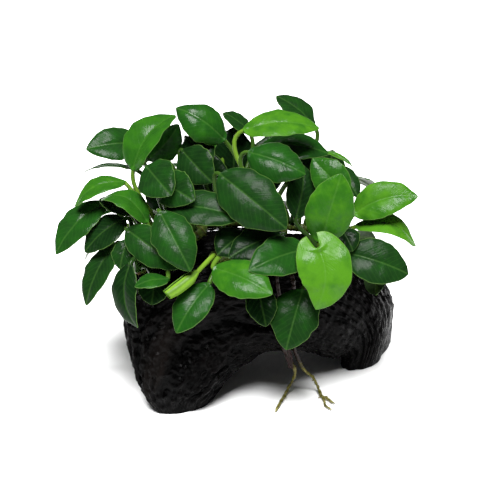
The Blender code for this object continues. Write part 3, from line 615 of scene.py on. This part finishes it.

# Each leaf: name, rhizome, how far along it the stalk stands, blade base, blade tip, width, the way the
# upper face looks and its age from 0, just open, to 1, old, which sets its tone; a few shaded leaves are
# given a lighter, younger tone as painted light; then what makes its form its own.
LEAVES = (
    ("leaf_left_1", "back", 1.00, (-36, 23, 83), (-56, 16, 83), 15, (-2, -7, 7), 0.60, dict(arch=0.10)),
    ("leaf_left_2", "left", 0.52, (-37, 0, 80), (-22, 13, 97), 17, (-6, -6, 4), 0.32,
     dict(arch=0.18, fold=0.5)),
    ("leaf_left_3", "back", 0.84, (-33, 13, 80), (-21, 15, 93), 13, (3, -9, -3), 0.50, dict(fold=0.5)),
    ("leaf_left_4", "left", 0.60, (-39, 8, 78.5), (-56, 9, 76.5), 12, (0, 2, 10), 0.80, dict()),
    ("leaf_left_5", "left", 0.44, (-40, -2, 76), (-58, -5, 68), 11, (-2, -3, 9), 0.27,
     dict(arch=0.20, knee=0.5, sway=-2)),
    ("leaf_left_6", "left", 0.35, (-31, -17, 66), (-48, -9, 72), 12, (3, -3, 9), 0.36, dict(arch=0.30)),
    ("leaf_left_7", "left", 0.36, (-48, -1, 68), (-65, -12, 52), 15, (-5, -6, 6), 0.56, dict(arch=0.12)),
    ("leaf_left_8", "left", 0.14, (-39.5, -10, 65), (-54, -15, 54), 16, (-6, -5, 6), 0.90, dict()),
    ("leaf_left_9", "left", 0.02, (-42.5, -14, 57), (-53, -26, 38), 13, (-6, -6, 5), 0.78, dict()),
    ("leaf_left_10", "left", 0.30, (-37, -9, 66.5), (-49, -6, 71), 11, (0, -2, 9), 0.95, dict()),
    ("leaf_left_11", "left", 0.00, (-36, -31, 56), (-33, -42, 37), 12, (-6, -8, 1), 0.95,
     dict(bend=-0.12, twist=30)),
    ("leaf_left_12", "left", 0.07, (-38, -18, 60), (-40.5, -24, 51), 9, (-2, -8, 5), 0.75, dict()),
    ("leaf_front_1", "left", 0.48, (-26, -20, 71), (-15, -35, 55), 15, (-1, -7, 7), 0.63, dict(curl=0.4)),
    ("leaf_front_2", "left", 0.25, (-38, -18.5, 64), (-19, -30, 54), 13, (-3, -7, 6), 0.68, dict()),
    ("leaf_front_3", "left", 0.28, (-23, -35, 52), (-34, -39, 51), 9, (0, -2, 10), 0.48, dict(knee=0.7)),
    ("leaf_front_4", "left", 0.04, (-27.5, -31.5, 50.5), (-28.5, -37.5, 43.5), 11, (0, -8, 5), 0.95,
     dict(knee=1.0)),
    ("leaf_front_5", "centre", 0.02, (-9, -30, 48), (-20, -42, 35), 13, (-2, -7, 6), 0.56, dict(knee=0.8)),
    ("leaf_front_6", "centre", 0.14, (-7, -30, 54), (13, -43, 50), 15, (-1, -6, 8), 0.28, dict(curl=0.4)),
    ("leaf_front_7", "centre", 0.34, (3, -17, 62), (-6, -25, 57), 13, (0, -7, 7), 0.90, dict()),
    ("leaf_front_8", "centre", 0.52, (17, -18, 62), (-2, -28, 57), 14, (-1, -6, 8), 1.00, dict()),
    ("leaf_front_9", "centre", 0.44, (8, -28, 46), (11, -37, 35), 11, (0, -8, 6), 1.00, dict()),
    ("leaf_front_10", "centre", 0.80, (14, -7, 69), (6, -16, 65), 11, (0, -7, 7), 0.90, dict()),
    ("leaf_front_11", "right", 0.06, (24, -28, 45), (18, -39, 27), 17, (-1, -8, 5), 0.72, dict(knee=0.6)),
    ("leaf_front_12", "right", 0.00, (26, -22, 58), (5, -37, 56), 16, (-1, -7, 7), 0.57, dict()),
    ("leaf_front_13", "right", 0.32, (29, -32, 62), (28, -40, 43), 19, (0, -8, 5), 0.06,
     dict(lobe=0.30, knee=1.0, sway=-3, bend=0.13)),
    ("leaf_right_1", "right", 0.20, (30, -23, 61), (37, -19, 85), 17, (0, -9, 4), 0.24,
     dict(arch=0.06, curl=0.4)),
    ("leaf_right_2", "right", 0.72, (43, -6, 65), (66, -6, 72), 14, (1, -7, 7), 0.17, dict(bend=0.08)),
    # Painted light: a lighter, younger tone than its age, to make up for the shade of leaf_right_2 over it.
    ("leaf_right_3", "right", 0.62, (44, -5, 60), (66, -7, 53), 13, (1, -3, 10), 0.10, dict(arch=0.27)),
    ("leaf_right_4", "right", 0.84, (42, 3, 52), (53, 8, 50), 9, (1, 9, 4), 0.85, dict()),
    ("leaf_right_5", "right", 0.46, (40, -17, 54.5), (62, -20, 47.5), 17, (1, -7, 6), 0.76, dict()),
    ("leaf_right_6", "right", 0.54, (50, -7, 47), (51, -19, 39), 10, (3, 8, 0), 0.80, dict()),
    ("leaf_right_7", "right", 0.40, (38, -12, 62), (42, -19, 56), 10, (2, -8, 4), 0.88, dict()),
    ("leaf_right_8", "right", 0.50, (40, -8, 73), (28, 1, 84), 13, (-2, -8, 6), 0.38, dict(sway=1.5)),
    ("leaf_right_9", "right", 0.78, (36, 11, 78), (45, 0, 69.5), 10, (3, -7, 6), 0.80, dict()),
    ("leaf_right_10", "right", 0.95, (33, 18, 81.5), (44, 16, 76.5), 9, (1, 1, 10), 0.15, dict()),
    ("leaf_top_1", "centre", 0.70, (-4, 11, 88), (-22, 16, 99), 15, (-2, -6, 8), 0.48,
     dict(arch=0.18, curl=0.5)),
    ("leaf_top_2", "back", 0.45, (5, 29, 86), (-5, 30, 93), 13, (2, -2, 9), 0.75, dict()),
    ("leaf_top_3", "centre", 0.90, (3, 10, 92), (31, 13, 92), 15, (0, -4, 9), 0.16, dict(arch=0.12)),
    ("leaf_top_4", "back", 0.10, (30, 31, 88), (15.5, 35, 98.5), 14, (4, -4, 7), 0.74, dict(bend=0.02)),
    # Painted light: a lighter, younger tone than its age, to make up for the shade of leaf_top_3 over it.
    ("leaf_top_5", "centre", 0.98, (10, 19, 83.5), (35, 15, 81.5), 14, (1, -5, 9), 0.60, dict()),
    ("leaf_top_6", "centre", 0.62, (5, -4, 88), (25, -11, 82), 16, (0, -7, 7), 0.55, dict(curl=0.5)),
    ("leaf_top_7", "centre", 0.24, (-5, -14, 83), (18, -28, 68), 19, (-1, -8, 5), 0.74,
     dict(arch=0.08, curl=0.4)),
    ("leaf_top_8", "left", 0.86, (-24, -13, 71), (3, -21, 69), 15, (0, -6, 8), 0.76, dict()),
    ("leaf_top_9", "left", 0.98, (-19, 4, 86), (-8, -8, 78), 14, (-3, -8, 5), 0.80, dict()),
    ("leaf_top_10", "left", 0.76, (-27, -6, 78), (-14, -19, 75), 14, (-2, -8, 5), 0.70, dict(wave=0.04)),
    ("leaf_top_11", "left", 0.66, (-31.5, -4, 82.5), (-22, -19, 77), 15, (-3, -7, 6), 0.70,
     dict(wave=0.04)),
    ("leaf_top_12", "back", 0.70, (-18, 17, 87), (-9, 6, 80), 13, (2, -9, 3), 0.88, dict()),
    ("leaf_top_13", "right", 0.28, (22, -9, 65), (25, 2, 81), 12, (3, -9, 2), 0.85, dict()),
)
LEAF_SIDES = [leaf_top, leaf_under, leaf_stalk]
for name, area, station, base, tip, width, facing, age, form in LEAVES:
    base, tip, facing = (np.array(v, float) for v in (base, tip, facing))
    root, outward = stalk_root(rhizome_lines[area], RHIZOME_RADIUS, station, base)
    points, faces, which, marks = leaf_mesh(root, outward, base, tip, width, facing, age=age, **form)
    leaf = add_piece(name + "_grown", points, faces, LEAF_SIDES, which, marks)
    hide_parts(name)

# The youngest leaf, still rolled up: a bright, limp sheet in a loose coil, open along one side, so that
# its inner turn shows. Its outside is the blade's underside.
ROLL_BASE = np.array([-13.0, -31.0, 53.0])
ROLL_TIP = np.array([-23.0, -39.0, 48.0])
ROLL_RADIUS = 2.15
ROLL_TURNS = 1.65
ROLL_SLIT = math.radians(65)  # how wide the open side is
ROLL_SHEET = 0.16  # mm, half the sheet's thickness
ROLL_OPENS = np.array([-0.35, -0.55, 0.75])  # the way the open side looks
ROLL_STEPS = 44
ROLL_COLUMNS = 70


def rolled_mesh():
    """The coiled sheet, ring by ring along its axis, outside and inside."""
    axis = unit(ROLL_TIP - ROLL_BASE)
    length = np.linalg.norm(ROLL_TIP - ROLL_BASE)
    up = unit(ROLL_OPENS - axis * ROLL_OPENS.dot(axis))
    side = np.cross(axis, up)
    v = np.linspace(0, 1, ROLL_COLUMNS)
    angles = ROLL_SLIT / 2 + v * 2 * math.pi * ROLL_TURNS
    radii = ROLL_RADIUS * (1.0 - 0.62 * np.clip((v - 0.42) / 0.58, 0, 1) ** 0.9)
    radii = radii + 0.10 * np.exp(-((v / 0.06) ** 2))
    points, marks = [], []
    for q in np.linspace(0, 1, ROLL_STEPS):
        opened = 0.36 + 0.64 * math.sin(min(q / 0.35, 1.0) * math.pi / 2)
        scale = opened * (1 - 0.20 * max(q - 0.7, 0) / 0.3)
        centre = ROLL_BASE + axis * length * q - up * 0.5 * math.sin(math.pi * q)
        for offset, order in ((ROLL_SHEET, 1), (-ROLL_SHEET, -1)):
            turned = angles[::order] + 0.10 * math.sin(5 * q)
            out = (radii[::order] * scale + offset)[:, None]
            cut = 0.5 * np.cos(turned) * (q > 0.985)
            ring = centre + out * (np.cos(turned)[:, None] * up + np.sin(turned)[:, None] * side)
            points.append(ring + axis * cut[:, None])
            sheet_mm = (v[::order] - 0.5) * 18.0
            edge_mm = 9.0 - np.abs(sheet_mm)
            marks.append(np.stack([sheet_mm, np.full(ROLL_COLUMNS, q * length), edge_mm], 1))
    count = 2 * ROLL_COLUMNS
    faces, which = [], []
    for level in range(ROLL_STEPS - 1):
        for k in range(count):
            here, beside = level * count + k, level * count + (k + 1) % count
            faces.append((here, beside, beside + count, here + count))
            which.append(1 if k < ROLL_COLUMNS - 1 else 0)
    last = (ROLL_STEPS - 1) * count
    for k in range(ROLL_COLUMNS - 1):
        faces.append((k, count - 1 - k, count - 2 - k, k + 1))
        faces.append((last + k, last + k + 1, last + count - 2 - k, last + count - 1 - k))
        which += [0, 0]
    points = np.concatenate(points)
    leaf_mm = np.concatenate(marks)
    return points, facing_out(points, faces), which, {"leaf_mm": leaf_mm, "age": np.zeros(len(points))}


def joined(parts):
    """Several meshes as one: each is its points, faces, each face's material and its marks."""
    faces, start = [], 0
    for points, own_faces, _, _ in parts:
        faces += [tuple(start + k for k in face) for face in own_faces]
        start += len(points)
    marks = {}
    for mark in sorted({mark for part in parts for mark in part[3]}):
        shape = next(part[3][mark].shape[1:] for part in parts if mark in part[3])
        values = [part[3].get(mark, np.zeros((len(part[0]), *shape))) for part in parts]
        marks[mark] = np.concatenate(values)
    points = np.concatenate([part[0] for part in parts])
    which = np.concatenate([part[2] for part in parts])
    return points, faces, which, marks


def stalk_mesh(path, radii, sides, material_number):
    """A plain round stalk along a path, marked as young."""
    points = tube_points(path, radii, sides)
    faces = facing_out(points, skin_faces(len(path), sides))
    marks = {"age": np.zeros(len(points)), "leaf_mm": np.full((len(points), 3), 9.0)}
    return points, faces, np.full(len(faces), material_number), marks


root, outward = stalk_root(rhizome_lines["centre"], RHIZOME_RADIUS, 0.04, ROLL_BASE)
lift = root + outward * 3.0
q = np.linspace(0, 1, 16)[:, None]
roll_stalk = (root - outward * STALK_SUNK) * (1 - q) ** 2 + lift * 2 * (1 - q) * q + ROLL_BASE * q**2
roll_stalk = np.concatenate([roll_stalk, [ROLL_BASE + (ROLL_TIP - ROLL_BASE) * 0.08]])
roll_parts = [rolled_mesh(), stalk_mesh(roll_stalk, np.linspace(1.0, 0.8, len(roll_stalk)), 16, 2)]
points, faces, which, marks = joined(roll_parts)
rolled = add_piece("leaf_rolled_grown", points, faces, LEAF_SIDES, which, marks)
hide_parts("leaf_rolled")

# Side shoots: short creeping stems round the back and the right, each with small leaves of its own that
# grow from it. They are made as the large leaves and stems are.
SHOOT_RADIUS = 1.7
SHOOT_LEVELS = 5
SHOOTS = {
    "back_left": ((-22, 2, 0), (-28, 4, 0), (-33, 5, 0)),
    "back_middle": ((-14, 17, 0), (-6, 18, 0), (1, 18, 0)),
    "back_right": ((19, 18, 0), (26, 18, 0), (33, 17, 0)),
    "right": ((45, 2, 0), (47, 8, 0), (48, 14, 0)),
}
SHOOT_LEAVES = (
    # shoot, how far along it, blade base, blade tip, width, the way the upper face looks, and age
    ("back_left", 0.15, (-33, 20, 66), (-50, 30, 56), 15, (-4, 4, 8), 0.60),
    ("back_left", 0.40, (-26, 24, 60), (-36, 40, 46), 15, (-3, 7, 6), 0.70),
    ("back_left", 0.65, (-40, 14, 62), (-60, 18, 50), 14, (-6, 1, 8), 0.75),
    ("back_left", 0.90, (-44, 8, 55), (-58, 12, 40), 13, (-8, 1, 5), 0.40),
    ("back_left", 0.02, (-25, 9, 61), (-30, 10, 74), 13, (0, -9, 2), 0.95),
    ("back_middle", 0.02, (-15, 26, 72), (-26, 40, 68), 15, (-2, 5, 9), 0.65),
    ("back_middle", 0.18, (-11, 27, 58), (-17, 42, 42), 15, (-1, 8, 5), 0.80),
    ("back_middle", 0.34, (-11, 20, 60), (-10, 26, 79), 17, (0, -9, 3), 0.95),
    ("back_middle", 0.50, (-6, 29, 79), (-13, 40, 86), 14, (-2, 4, 9), 0.25),
    ("back_middle", 0.66, (-1, 27, 70), (-1, 32, 87), 15, (1, -9, 3), 0.95),
    ("back_middle", 0.82, (3, 30, 64), (2, 44, 50), 16, (0, 8, 6), 0.70),
    ("back_middle", 0.98, (11, 24, 63), (13, 32, 84), 16, (-1, -9, 4), 0.97),
    ("back_right", 0.04, (16, 30, 58), (12, 43, 42), 14, (-1, 8, 5), 0.75),
    ("back_right", 0.20, (25, 17, 67), (24, 20, 83), 15, (0, -9, 2), 0.95),
    ("back_right", 0.36, (24, 31, 70), (26, 44, 60), 16, (1, 7, 7), 0.60),
    ("back_right", 0.55, (34, 28, 58), (42, 40, 42), 15, (3, 7, 5), 0.70),
    ("back_right", 0.70, (34, 21, 66), (37, 25, 80), 14, (1, -9, 3), 0.92),
    ("back_right", 0.88, (40, 24, 70), (56, 32, 60), 15, (3, 4, 8), 0.50),
    ("right", 0.25, (50, 16, 47), (60, 27, 31), 13, (6, 6, 5), 0.70),
    ("right", 0.75, (44, 24, 44), (48, 36, 28), 13, (3, 8, 5), 0.30),
)
for number, (area, rows) in enumerate(SHOOTS.items()):
    line = rhizome_path(rows, SHOOT_LEVELS, SHOOT_RADIUS)
    points, faces, run = stem_mesh(line, SHOOT_RADIUS, 20, 20.0 + number)
    parts = [(points, facing_out(points, faces), np.full(len(faces), len(LEAF_SIDES)), {"along_mm": run})]
    for owner, station, base, tip, width, facing, age in SHOOT_LEAVES:
        if owner == area:
            base, tip, facing = (np.array(v, float) for v in (base, tip, facing))
            root, outward = stalk_root(line, SHOOT_RADIUS, station, base)
            parts.append(leaf_mesh(root, outward, base, tip, width, facing, age=age))
    points, faces, which, marks = joined(parts)
    shoot = add_piece(f"shoot_{area}_grown", points, faces, [*LEAF_SIDES, stem_skin], which, marks)
    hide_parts("shoot_" + area)

# Roots: two from the rhizomes, firm and knobbly, olive to tan, that feel their way down the front of the
# wood and out over the floor. Above the floor they pass through a tuft of old red-brown root hair.
ROOT_SIDES = 18
ROOT_LEFT = (
    # x, y, z and radius, in mm, from the rhizome to the tip
    (15, -17, 53, 0.8), (15, -23, 48, 0.8), (16, -24, 38, 0.8), (16, -23, 28, 0.9), (17, -21, 20, 1.3),
    (19.5, -19.5, 14, 1.5), (21.5, -19, 10, 1.0), (22, -19.5, 6.5, 0.6), (19.5, -21, 1.8, 0.6),
    (17, -28, 0.9, 0.6), (14.4, -36, 0.7, 0.45),
)
ROOT_RIGHT = (
    (20, -20, 49, 0.8), (21, -22, 44, 0.8), (21, -21, 34, 0.8), (21, -20, 26, 0.8), (21.5, -19, 18, 0.9),
    (23.5, -18, 12, 0.8), (26, -18, 7.5, 0.6), (29, -18.5, 5, 0.6), (30.8, -20, 1.4, 0.6),
    (32, -25.5, 0.9, 0.7), (33.5, -26.5, 0.9, 0.6), (36.4, -30.5, 0.7, 0.4),
)
ROOT_FORK = ((32.2, -25.8, 0.9, 0.5), (32.6, -29, 0.8, 0.5), (32.8, -31.5, 0.8, 0.5), (35, -35, 0.7, 0.4))
TUFT_MIDDLE = np.array([19.3, -19.8, 14.5])
TUFT_STRANDS = 46
TUFT_SEED = 7


def clear_of_wood(point, distance):
    """The point moved straight off the wood until it is this far from its surface."""
    place, normal, _, gap = wood_surface.find_nearest(Vector(point))
    inside = (Vector(point) - place).dot(normal) < 0
    if gap >= distance and not inside:
        return np.array(point, float)
    return np.array(place + normal * distance)


def root_mesh(rows, seed):
    """One knobbly root, thinner than its solid between the knobs, and its middle line."""
    path = []
    for x, y, z, radius in rows:
        path.append((*clear_of_wood((x, y, z), radius + 3 * GAP), min(radius, 0.8)))
    path = smooth_rows(path, 26 * len(rows))
    wiggle = [0.22 * noise.noise(Vector((seed, k / 9.0, 0.0))) for k in range(len(path))]
    line = path[:, :3] + np.stack([wiggle, wiggle[::-1], np.zeros(len(path))], 1)
    run = path_lengths(line)
    knobs = np.array([noise.noise(Vector((seed, r / 1.3, 4.0))) for r in run])
    radii = path[:, 3] * (0.84 + 0.34 * knobs) * np.minimum(1.0, (run[-1] - run + 0.5) / 2.5) ** 0.6
    line[:, 2] = np.maximum(line[:, 2], radii * 0.95)
    points = tube_points(line, radii, ROOT_SIDES, lumps=0.35, seed=seed)
    faces = facing_out(points, skin_faces(len(line), ROOT_SIDES))
    return line, (points, faces, np.zeros(len(faces)), {})


def rootlets(line, places, lengths, seed):
    """Short side roots, thin as thread, from these places along a root."""
    draw = np.random.default_rng(seed)
    parts = []
    for share, length in zip(places, lengths):
        start = line[int(share * (len(line) - 1))]
        way = unit(draw.normal(size=3) * (1, 1, 0.3) + (0, -0.4, -0.2))
        q = np.linspace(0, 1, 10)[:, None]
        path = start + way * length * q + np.array([0, 0, -0.12 * length]) * q**2
        path[:, 2] = np.maximum(path[:, 2], 0.25)
        points = tube_points(path, np.linspace(0.32, 0.12, 10), 8, lumps=0.3, seed=share)
        faces = facing_out(points, skin_faces(10, 8))
        parts.append((points, faces, np.zeros(len(faces)), {}))
    return parts


def tuft_strands():
    """Old root hair: fine strands that hang in a bundle about the left root, inside its thick part."""
    rng = np.random.default_rng(TUFT_SEED)
    parts = []
    for _ in range(TUFT_STRANDS):
        around = rng.uniform(0, 2 * math.pi)
        out = 1.25 * math.sqrt(rng.uniform(0.05, 1.0))
        top = TUFT_MIDDLE + (out * math.cos(around) - 1.0, out * math.sin(around), rng.uniform(3.5, 6.5))
        turned = around + 0.6
        down = -rng.uniform(2.5, 5.0)
        low = TUFT_MIDDLE + (0.7 * out * math.cos(turned) + 1.2, 0.7 * out * math.sin(turned), down)
        q = np.linspace(0, 1, 14)[:, None]
        sway = np.array([rng.normal(0, 0.35), rng.normal(0, 0.35), 0])
        path = top * (1 - q) + low * q + sway * np.sin(2.4 * math.pi * q) * 0.8
        points = tube_points(path, np.linspace(0.17, 0.09, 14), 6)
        faces = facing_out(points, skin_faces(14, 6))
        parts.append((points, faces, np.ones(len(faces)), {}))
    return parts


# Fresh root: firm, olive to tan with a dull skin, but painted dark brown higher up, both as the shade under
# the leaves and as the darker skin of older root. Old root hair: matt and red-brown.
fresh_root = new_material(
    "olive root skin", IOR=1.4, Specular_IOR_Level=0.2, Coat_Weight=0.03, Coat_Roughness=0.3
)
place = add_node(fresh_root, "ShaderNodeTexCoord").outputs["Object"]
spots = add_node(fresh_root, "ShaderNodeTexNoise", Vector=place, Scale=1 / (1.6 * MM), Detail=4.0)
stops = ((0.30, "37330f"), (0.50, "635f2c"), (0.70, "87814c"))
flesh = add_node(fresh_root, "ShaderNodeValToRGB", {"stops": stops}, i0=spots)
rise = add_node(fresh_root, "ShaderNodeSeparateXYZ", Vector=place).outputs["Z"]
# Painted shade: from 7 to 13 mm up, the root turns near black-brown, for the shade under the leaves as well
# as older skin.
old_and_shaded_above = add_node(fresh_root, "ShaderNodeMapRange", SMOOTH, Value=rise, From_Min=7 * MM, From_Max=13 * MM)
flesh = add_node(fresh_root, "ShaderNodeMix", COLOURS, i0=old_and_shaded_above, i6=flesh, i7=colour("1a0f0b"))
feed(fresh_root, "Base Color", flesh)
stops = ((0.3, "7a7a7a"), (0.7, "b0b0b0"))
feed(fresh_root, "Roughness", add_node(fresh_root, "ShaderNodeValToRGB", {"stops": stops}, i0=spots))
bumps = add_node(fresh_root, "ShaderNodeBump", Height=spots, Strength=0.7, Distance=0.2 * MM)
feed(fresh_root, "Normal", bumps)
root_hair = new_material("red-brown root hair", Roughness=0.8)
place = add_node(root_hair, "ShaderNodeTexCoord").outputs["Object"]
spots = add_node(root_hair, "ShaderNodeTexNoise", Vector=place, Scale=1 / (0.8 * MM), Detail=2.0)
stops = ((0.3, "150807"), (0.7, "321713"))
feed(root_hair, "Base Color", add_node(root_hair, "ShaderNodeValToRGB", {"stops": stops}, i0=spots))

line, left_root = root_mesh(ROOT_LEFT, 1.7)
left_parts = [left_root, *rootlets(line, (0.86, 0.91, 0.95), (1.2, 1.0, 0.8), 3), *tuft_strands()]
line, right_root = root_mesh(ROOT_RIGHT, 5.2)
_, fork_root = root_mesh(ROOT_FORK, 9.4)
right_rootlets = rootlets(line, (0.66, 0.74, 0.80, 0.87, 0.93), (1.6, 1.4, 1.8, 2.0, 1.5), 4)
right_parts = [right_root, fork_root, *right_rootlets]
for name, parts in (("root_left", left_parts), ("root_right", right_parts)):
    points, faces, which, _ = joined(parts)
    root_piece = add_piece(name + "_grown", points, faces, [fresh_root, root_hair], which)
    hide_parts(name)

# Studio: a plain white floor, one large soft light overhead and a faint, even surround.
FLOOR_HALF = 4.0
FLOOR_DROP = 0.2 * MM
SURROUND_STRENGTH = 0.07
SOFTBOX_STRENGTH = 9.5
SOFTBOX_SPREAD = math.radians(36)  # the angle that it fills as seen from the plant
SOFTBOX_AIM = Vector((0.05, 0.30, -1.0))
floor_finish = new_material("white floor", Base_Color=colour("ffffff"), Roughness=0.9)
floor_mesh = bpy.data.meshes.new("floor")
corners = [(x * FLOOR_HALF, y * FLOOR_HALF, -FLOOR_DROP) for x, y in ((-1, -1), (1, -1), (1, 1), (-1, 1))]
floor_mesh.from_pydata(corners, [], [(0, 1, 2, 3)])
floor_mesh.materials.append(floor_finish)
floor = bpy.data.objects.new("floor", floor_mesh)
bpy.context.scene.collection.objects.link(floor)

world = bpy.data.worlds.new("studio")
world.use_nodes = True
world.node_tree.nodes["Background"].inputs["Color"].default_value = (1, 1, 1, 1)
world.node_tree.nodes["Background"].inputs["Strength"].default_value = SURROUND_STRENGTH
bpy.context.scene.world = world
bpy.context.scene.view_settings.view_transform = "Standard"

sun = bpy.data.lights.new("overhead softbox", "SUN")
sun.energy = SOFTBOX_STRENGTH
sun.angle = SOFTBOX_SPREAD
lamp = bpy.data.objects.new("overhead softbox", sun)
lamp.rotation_euler = SOFTBOX_AIM.to_track_quat("-Z", "Y").to_euler()
bpy.context.scene.collection.objects.link(lamp)

# Camera: 44 cm away and 22 degrees above the level, with a short telephoto lens.
CAMERA_TARGET = np.array([5.4, 0.0, 48.8])
CAMERA_AWAY = 440.0
CAMERA_HEIGHT = math.radians(22.0)
camera_data = bpy.data.cameras.new("camera")
camera_data.lens = 85
camera_data.sensor_width = 36
camera = bpy.data.objects.new("camera", camera_data)
looking = np.array([0.0, math.cos(CAMERA_HEIGHT), -math.sin(CAMERA_HEIGHT)])
camera.location = (CAMERA_TARGET - looking * CAMERA_AWAY) * MM
camera.rotation_euler = Vector(looking).to_track_quat("-Z", "Y").to_euler()
bpy.context.scene.collection.objects.link(camera)
bpy.context.scene.camera = camera
